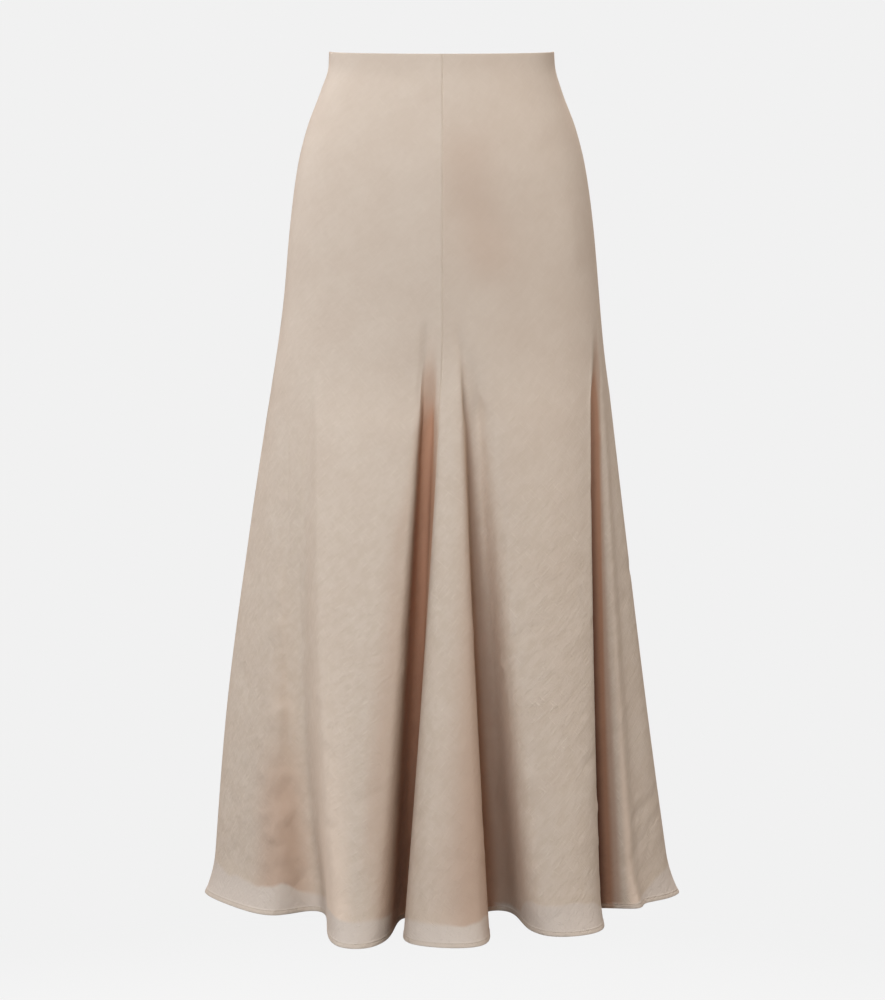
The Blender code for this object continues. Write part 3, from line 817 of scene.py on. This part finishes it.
def sewn_edges_group():
    """The stitch row and roping of a narrow hem, and the thin line and small puckers of a seam."""
    tree, given, out = group(
        "sewn edges",
        {
            "Cut": (VECTOR, (0.0, 0.0, 0.0)),
            "Edges": (VECTOR, (0.0, 0.0, 0.0)),
            "Stitch Row": (NUMBER, HEM_STITCH),
            "Stitch Length": (NUMBER, 0.0026),
            "Hem Depth": (NUMBER, HEM_DEPTH),
        },
        {"Stitches": NUMBER, "Hem": NUMBER, "Seam": NUMBER, "Puckers": NUMBER},
    )
    place = parts(tree, given["Cut"])
    edges = parts(tree, given["Edges"])
    wander = noise(tree, given["Cut"], WANDER)

    def rippled(waves, along, away):
        """Waves along an edge or a seam, which fade with the distance away from it."""
        angle = maths(tree, "ADD", times(tree, along, waves.many), times(tree, wander, waves.astray))
        return times(tree, maths(tree, "SINE", angle), rise(tree, away, waves.near_none, waves.near_full))

    dash = maths(tree, "FRACT", maths(tree, "DIVIDE", place["X"], given["Stitch Length"]))
    row = pulse(tree, edges["Y"], given["Stitch Row"], STITCH_HALF)
    feed(tree, out["Stitches"], times(tree, row, pulse(tree, dash, 0.5, STITCH_SHARE)))
    full = times(tree, given["Hem Depth"], HEM_SHADE_FULL)
    feed(tree, out["Hem"], rise(tree, edges["Y"], given["Hem Depth"], full))
    feed(tree, out["Seam"], rise(tree, edges["X"], *SEAM_LINE))
    slanted = maths(tree, "ADD", place["X"], times(tree, place["Y"], ROPING_SLANT))
    roping = rippled(ROPING, slanted, edges["Y"])
    puckering = rippled(PUCKERING, place["Y"], edges["X"])
    feed(tree, out["Puckers"], maths(tree, "ADD", roping, puckering))
    return tree


WAVERS = 22.0  # how many waves a metre the lining's edge has, and their detail
WAVER_DETAIL = 1.5
TURNED_FROM = (0.0, 0.3)  # the turned edge shows between those shares of its width, and fades again between these
TURNED_TO = (1.6, 0.7)


def lining_shadow_group():
    """Painted shade where the lining lies behind slightly sheer cloth: 1 above its uneven lower edge, 0 below it.

    Doubled is the painted shadow of the lining's turned edge.
    """
    tree, given, out = group(
        "lining behind",
        {
            "Cut": (VECTOR, (0.0, 0.0, 0.0)),
            "Edges": (VECTOR, (0.0, 0.0, 0.0)),
            "Waver": (NUMBER, 0.020),
            "Softness": (NUMBER, 0.005),
            "Turned Edge": (NUMBER, 0.008),
        },
        {"Lined": NUMBER, "Doubled": NUMBER},
    )
    uneven = noise(tree, given["Cut"], WAVERS, WAVER_DETAIL)
    wavering = times(tree, maths(tree, "SUBTRACT", uneven, 0.5), given["Waver"])
    above = maths(tree, "ADD", parts(tree, given["Edges"])["Z"], wavering)
    feed(tree, out["Lined"], rise(tree, maths(tree, "DIVIDE", above, given["Softness"]), -0.5, 0.5))
    share = maths(tree, "DIVIDE", above, given["Turned Edge"])
    feed(tree, out["Doubled"], times(tree, rise(tree, share, *TURNED_FROM), rise(tree, share, *TURNED_TO)))
    return tree


def placed(tree, made_group, values):
    """A node group in a material, with its own values."""
    made = tree.nodes.new("ShaderNodeGroup")
    made.node_tree = made_group
    for name, value in values.items():
        feed(tree, made.inputs[name], value)
    return made.outputs


def mixed(tree, factor, first, second):
    """A colour between two, by a factor."""
    made = node(tree, "Mix", data_type="RGBA")
    colours = [socket for socket in made.inputs if socket.type == "RGBA"]
    feed(tree, made.inputs[0], factor)
    for socket, value in zip(colours, (first, second)):
        feed(tree, socket, value)
    return next(socket for socket in made.outputs if socket.type == "RGBA")


def carried(tree, label):
    """A vector that the mesh carries."""
    return node(tree, "Attribute", attribute_name=label).outputs["Vector"]


def started(name):
    """A new material, its node tree, its shader, and the cloth's two coordinates."""
    material = bpy.data.materials.new(name)
    material.use_nodes = True
    tree = material.node_tree
    return material, tree, tree.nodes["Principled BSDF"], carried(tree, "cut"), carried(tree, "edges")


def bumped(tree, shader, strength, heights):
    """Raises the surface by the sum of the values, each with how many metres it stands for."""
    total = 0.0
    for value, metres in heights:
        total = maths(tree, "ADD", total, times(tree, value, metres))
    bump = node(tree, "Bump", {"Height": total, "Strength": strength, "Distance": 1.0})
    feed(tree, shader.inputs["Normal"], bump.outputs[0])


CREAM = (0.625, 0.528, 0.446, 1.0)
CREAM_PALE = (0.652, 0.560, 0.478, 1.0)
SLUB_PALE = (0.740, 0.655, 0.560, 1.0)
CREAM_DEEP = (0.560, 0.465, 0.370, 1.0)
# painted light: the unlined sheer strip, paler as if lit through from behind
SHEER_LIT_THROUGH = (0.628, 0.552, 0.490, 1.0)
# painted highlight
CREAM_LIT = (0.760, 0.620, 0.510, 1.0)  # on a shoulder that catches the light, where the shade is under 0
LIT_FULL = -0.5
# The painted warm shade of the cloth in a fold, in the depth of one, and in a narrow gap; a painted shade of so
# much or more has each in full
FOLD_SHADE_COLOURS = (
    (0.5, (0.535, 0.395, 0.308, 1.0)),
    (1.0, (0.460, 0.255, 0.165, 1.0)),
    (2.0, (0.120, 0.046, 0.026, 1.0)),
)
# a painted fold shade between these hides the sheer strip's painted see-through light
SHEER_HIDDEN = (0.45, 0.9)  # the shades between which a fold's depth hides the sheer strip
# Two heights below the waist, and how strongly each mark of the weave shows at the one and at the other
STREAKS_SHOW = (0.20, 0.60, 0.05, 0.16)
SLUBS_SHOW = (0.20, 0.55, 0.15, 0.50)
FLECKS_SHOW = (0.25, 0.60, 0.12, 0.42)
ROUGHNESS_SHOWS = (0.15, 0.60, 0.30, 1.0)
# painted shadow: the lining's turned edge seen through the cloth
DOUBLED_SHOWS = 0.30  # how strongly the lining's turned edge shows through, and the sewing
SEWING_SHOWS = 0.35
SHELL_ROUGHNESS = (0.60, 0.50)  # beside the slubs and on them
SHELL_BUMP = 0.8
# How many metres each part of the surface stands up
THREAD_HEIGHT = 0.00006
SLUB_HEIGHT = 0.00022
FLECK_HEIGHT = -0.00022
STREAK_HEIGHT = 0.00012
STITCH_HEIGHT = 0.00030
PUCKER_HEIGHT = 0.00012


def shell_material(weave, sewn, lined):
    """The outer cloth: softly lustrous, slubby, and a little paler where no lining lies behind it.

    The paler strip is painted light shining through; the folds carry painted warm shade and some shoulders painted
    highlights.
    """
    material, tree, shader, cut, edges = started("slubby cream cloth")
    threads = placed(tree, weave, {"Cut": cut})
    stitching = placed(tree, sewn, {"Cut": cut, "Edges": edges})
    behind = placed(tree, lined, {"Cut": cut, "Edges": edges})
    down = parts(tree, cut)["Y"]
    # the painted warm shade of the folds; under 0 a painted highlight
    shade = parts(tree, carried(tree, "fold"))["X"]
    body = mixed(tree, threads["Clouds"], CREAM, CREAM_PALE)
    for mark, shows, colour in (
        ("Streaks", STREAKS_SHOW, CREAM_DEEP),
        ("Slubs", SLUBS_SHOW, SLUB_PALE),
        ("Flecks", FLECKS_SHOW, CREAM_DEEP),
    ):
        body = mixed(tree, times(tree, threads[mark], rise(tree, down, *shows)), body, colour)
    # painted shadow of the lining's turned edge, seen through the cloth
    body = mixed(tree, times(tree, behind["Doubled"], DOUBLED_SHOWS), body, CREAM_DEEP)
    # painted highlight on shoulders that catch the light
    body = mixed(tree, rise(tree, shade, 0.0, LIT_FULL), body, CREAM_LIT)
    # painted warm shade in the folds, the darker the deeper the shade
    begins = 0.0
    for full, colour in FOLD_SHADE_COLOURS:
        body = mixed(tree, rise(tree, shade, begins, full), body, colour)
        begins = full
    # paler where the cloth is neither lined nor deep in painted fold shade: painted light shining through from
    # behind
    lined_or_shaded = maths(tree, "MAXIMUM", behind["Lined"], rise(tree, shade, *SHEER_HIDDEN))
    body = mixed(tree, lined_or_shaded, SHEER_LIT_THROUGH, body)
    body = mixed(tree, times(tree, stitching["Hem"], SEWING_SHOWS), body, CREAM_DEEP)
    marks = maths(tree, "MAXIMUM", stitching["Stitches"], stitching["Seam"])
    body = mixed(tree, times(tree, marks, SEWING_SHOWS), body, CREAM_DEEP)
    feed(tree, shader.inputs["Base Color"], body)
    feed(tree, shader.inputs["Roughness"], rise(tree, threads["Slubs"], 0.0, 1.0, *SHELL_ROUGHNESS))
    rougher = rise(tree, down, *ROUGHNESS_SHOWS)
    heights = (
        (threads["Threads"], THREAD_HEIGHT),
        (times(tree, threads["Slubs"], rougher), SLUB_HEIGHT),
        (times(tree, threads["Flecks"], rougher), FLECK_HEIGHT),
        (times(tree, threads["Streaks"], rougher), STREAK_HEIGHT),
        (stitching["Stitches"], STITCH_HEIGHT),
        (stitching["Puckers"], PUCKER_HEIGHT),
    )
    bumped(tree, shader, SHELL_BUMP, heights)
    shader.inputs["Specular IOR Level"].default_value = 0.25
    shader.inputs["Sheen Weight"].default_value = 0.20
    shader.inputs["Sheen Tint"].default_value = (1.0, 0.72, 0.54, 1.0)
    shader.inputs["Sheen Roughness"].default_value = 0.45
    return material


SATIN = (0.64, 0.55, 0.455, 1.0)
SATIN_PALE = (0.68, 0.59, 0.49, 1.0)
SATIN_WEAVE = {"Thread": 0.0005, "Slub Width": 0.0008, "Slub Length": 0.04}
SATIN_STITCH_ROW = 0.0045
SATIN_STITCHES_SHOW = 0.5
SATIN_ROUGHNESS = (0.46, 0.38)  # beside its streaks and on them
SATIN_THREAD_HEIGHT = 0.00003
SATIN_STITCH_HEIGHT = 0.0002
SATIN_BUMP = 0.7


def lining_material(weave, sewn):
    """Smooth light satin, with fine threads and its own stitched hem."""
    material, tree, shader, cut, edges = started("smooth lining satin")
    threads = placed(tree, weave, {"Cut": cut, **SATIN_WEAVE})
    stitching = placed(tree, sewn, {"Cut": cut, "Edges": edges, "Stitch Row": SATIN_STITCH_ROW})
    body = mixed(tree, threads["Clouds"], SATIN, SATIN_PALE)
    body = mixed(tree, times(tree, stitching["Stitches"], SATIN_STITCHES_SHOW), body, CREAM_DEEP)
    feed(tree, shader.inputs["Base Color"], body)
    feed(tree, shader.inputs["Roughness"], rise(tree, threads["Streaks"], 0.0, 1.0, *SATIN_ROUGHNESS))
    heights = ((threads["Threads"], SATIN_THREAD_HEIGHT), (stitching["Stitches"], SATIN_STITCH_HEIGHT))
    bumped(tree, shader, SATIN_BUMP, heights)
    shader.inputs["Sheen Weight"].default_value = 0.15
    return material


# The pieces


# What each piece is cut from, flat, and the piece that it hangs from
Cut = namedtuple("Cut", "node flat area rests_on")
PANELS = (
    Cut("front_left", (0.63, 0.92), 0.289, "facing_front"),
    Cut("front_right", (0.68, 0.92), 0.312, "facing_front"),
    Cut("back_right", (0.60, 0.92), 0.271, "facing_back"),
    Cut("back_left", (0.63, 0.92), 0.289, "facing_back"),
)
FACINGS = (
    Cut("facing_front", (0.345, 0.040), 0.0115, "front_left"),
    Cut("facing_back", (0.345, 0.040), 0.0115, "back_left"),
)
LININGS = (
    Cut("lining_front", (1.15, 0.86), 0.511, "facing_front"),
    Cut("lining_back", (1.10, 0.86), 0.485, "facing_back"),
)


def declare(piece, cut):
    """Rides the piece on the skirt, in place of its solid."""
    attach(piece, "root")
    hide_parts(cut.node)


weave = bias_weave_group()
sewn = sewn_edges_group()
lined = lining_shadow_group()
shell_cloth = shell_material(weave, sewn, lined)
lining_satin = lining_material(weave, sewn)

outer = outline_of(STEPS, SEAM_STEPS)
depths = fold_depths(outer)
ends = (*outer.seams, outer.seams[0] + len(outer.turns))
for number, cut in enumerate(PANELS):
    panel = shell_panel(cut.node, outer, depths, ends[number], ends[number + 1], number, shell_cloth)
    declare(panel, cut)
for number, cut in enumerate(FACINGS):
    sheet_number = len(PANELS) + number
    half = facing_half(cut.node, outer, ends[2 * number], ends[2 * number + 2], sheet_number, shell_cloth)
    declare(half, cut)
inner = outline_of(LINING_STEPS, behind=True)
ends = (*inner.seams, inner.seams[0] + len(inner.turns))
for number, cut in enumerate(LININGS):
    sheet_number = len(PANELS) + len(FACINGS) + number
    half = lining_half(cut.node, inner, ends[2 * number], ends[2 * number + 2], sheet_number, lining_satin)
    declare(half, cut)


# The studio


def aimed(thing, place, at):
    """Puts a camera or lamp at a place, looking at another."""
    holder = bpy.data.objects.new(thing.name, thing)
    bpy.context.scene.collection.objects.link(holder)
    holder.location = place
    holder.rotation_mode = "QUATERNION"
    holder.rotation_quaternion = (at - Vector(place)).to_track_quat("-Z", "Y")
    return holder


# across: degrees to the right of the front; up: degrees above the middle
Lamp = namedtuple("Lamp", "name across up watts colour")
LAMPS = (
    Lamp("front high", -12, 45, 70.0, (1.0, 0.99, 0.985)),
    Lamp("left front", -30, 15, 26.5, (0.99, 1.0, 1.0)),
    Lamp("front", -10, 0, 15.0, (1.0, 0.92, 0.86)),
    Lamp("left side", -95, 20, 36.0, (0.97, 0.98, 1.0)),
    Lamp("right low", 75, 12, 30.0, (1.0, 0.92, 0.85)),
    Lamp("right side", 95, 20, 24.0, (1.0, 0.92, 0.85)),
    Lamp("behind left", -130, 25, 34.0, (1.0, 0.93, 0.88)),
    Lamp("behind", 165, 45, 75.0, (1.0, 0.98, 0.96)),
)
LAMP_SIZE = 1.7
LAMP_DISTANCE = 3.4
LAMP_AIM = Vector((0.0, 0.0, -0.45))


def lit():
    """The broad soft lamps round the skirt."""
    for place in LAMPS:
        a, e = math.radians(place.across), math.radians(place.up)
        way = Vector((math.sin(a) * math.cos(e), -math.cos(a) * math.cos(e), math.sin(e)))
        lamp = bpy.data.lights.new(place.name, "AREA")
        lamp.energy = place.watts
        lamp.color = place.colour
        lamp.size = LAMP_SIZE
        aimed(lamp, LAMP_AIM + LAMP_DISTANCE * way, LAMP_AIM)


def seen_as(tree, light, look):
    """One strength for the light on the cloth and another for the camera's own look."""
    return rise(tree, node(tree, "LightPath").outputs["Is Camera Ray"], 0.0, 1.0, light, look)


def surround():
    """The pale surround."""
    world = bpy.data.worlds.new("studio")
    bpy.context.scene.world = world
    world.use_nodes = True
    inputs = world.node_tree.nodes["Background"].inputs
    inputs["Color"].default_value = WHITE
    feed(world.node_tree, inputs["Strength"], seen_as(world.node_tree, AMBIENT, BACKGROUND))


def pale_floor():
    """A floor that runs out into the surround."""
    where = (0, 0, FLOOR_LEVEL)
    bpy.ops.mesh.primitive_circle_add(vertices=FLOOR_SIDES, radius=FLOOR_RADIUS, fill_type="NGON", location=where)
    floor = bpy.context.object
    floor.name = "studio_floor"
    material = bpy.data.materials.new("pale floor")
    material.use_nodes = True
    tree = material.node_tree
    shader = tree.nodes["Principled BSDF"]
    shader.inputs["Roughness"].default_value = 1.0
    shader.inputs["Specular IOR Level"].default_value = 0.0
    place = node(tree, "TexCoord").outputs["Object"]
    outwards = node(tree, "VectorMath", {0: place}, operation="LENGTH").outputs["Value"]
    far = rise(tree, outwards, *FLOOR_FADES)
    feed(tree, shader.inputs["Base Color"], mixed(tree, far, FLOOR_GREY, BLACK))
    shader.inputs["Emission Color"].default_value = WHITE
    glow = rise(tree, far, 0.0, 1.0, FLOOR_GLOW, BACKGROUND)
    feed(tree, shader.inputs["Emission Strength"], seen_as(tree, FLOOR_LIGHT, glow))
    floor.data.materials.append(material)


def studio():
    """The camera, the lamps, the surround and the floor."""
    lens = bpy.data.cameras.new("camera")
    lens.sensor_width = SENSOR
    lens.lens = SENSOR * (AIM - CAMERA).length / (IMAGE_HEIGHT * METRES_A_PIXEL)
    bpy.context.scene.camera = aimed(lens, CAMERA, AIM)
    lit()
    surround()
    pale_floor()
    bpy.context.scene.view_settings.view_transform = "Standard"


studio()
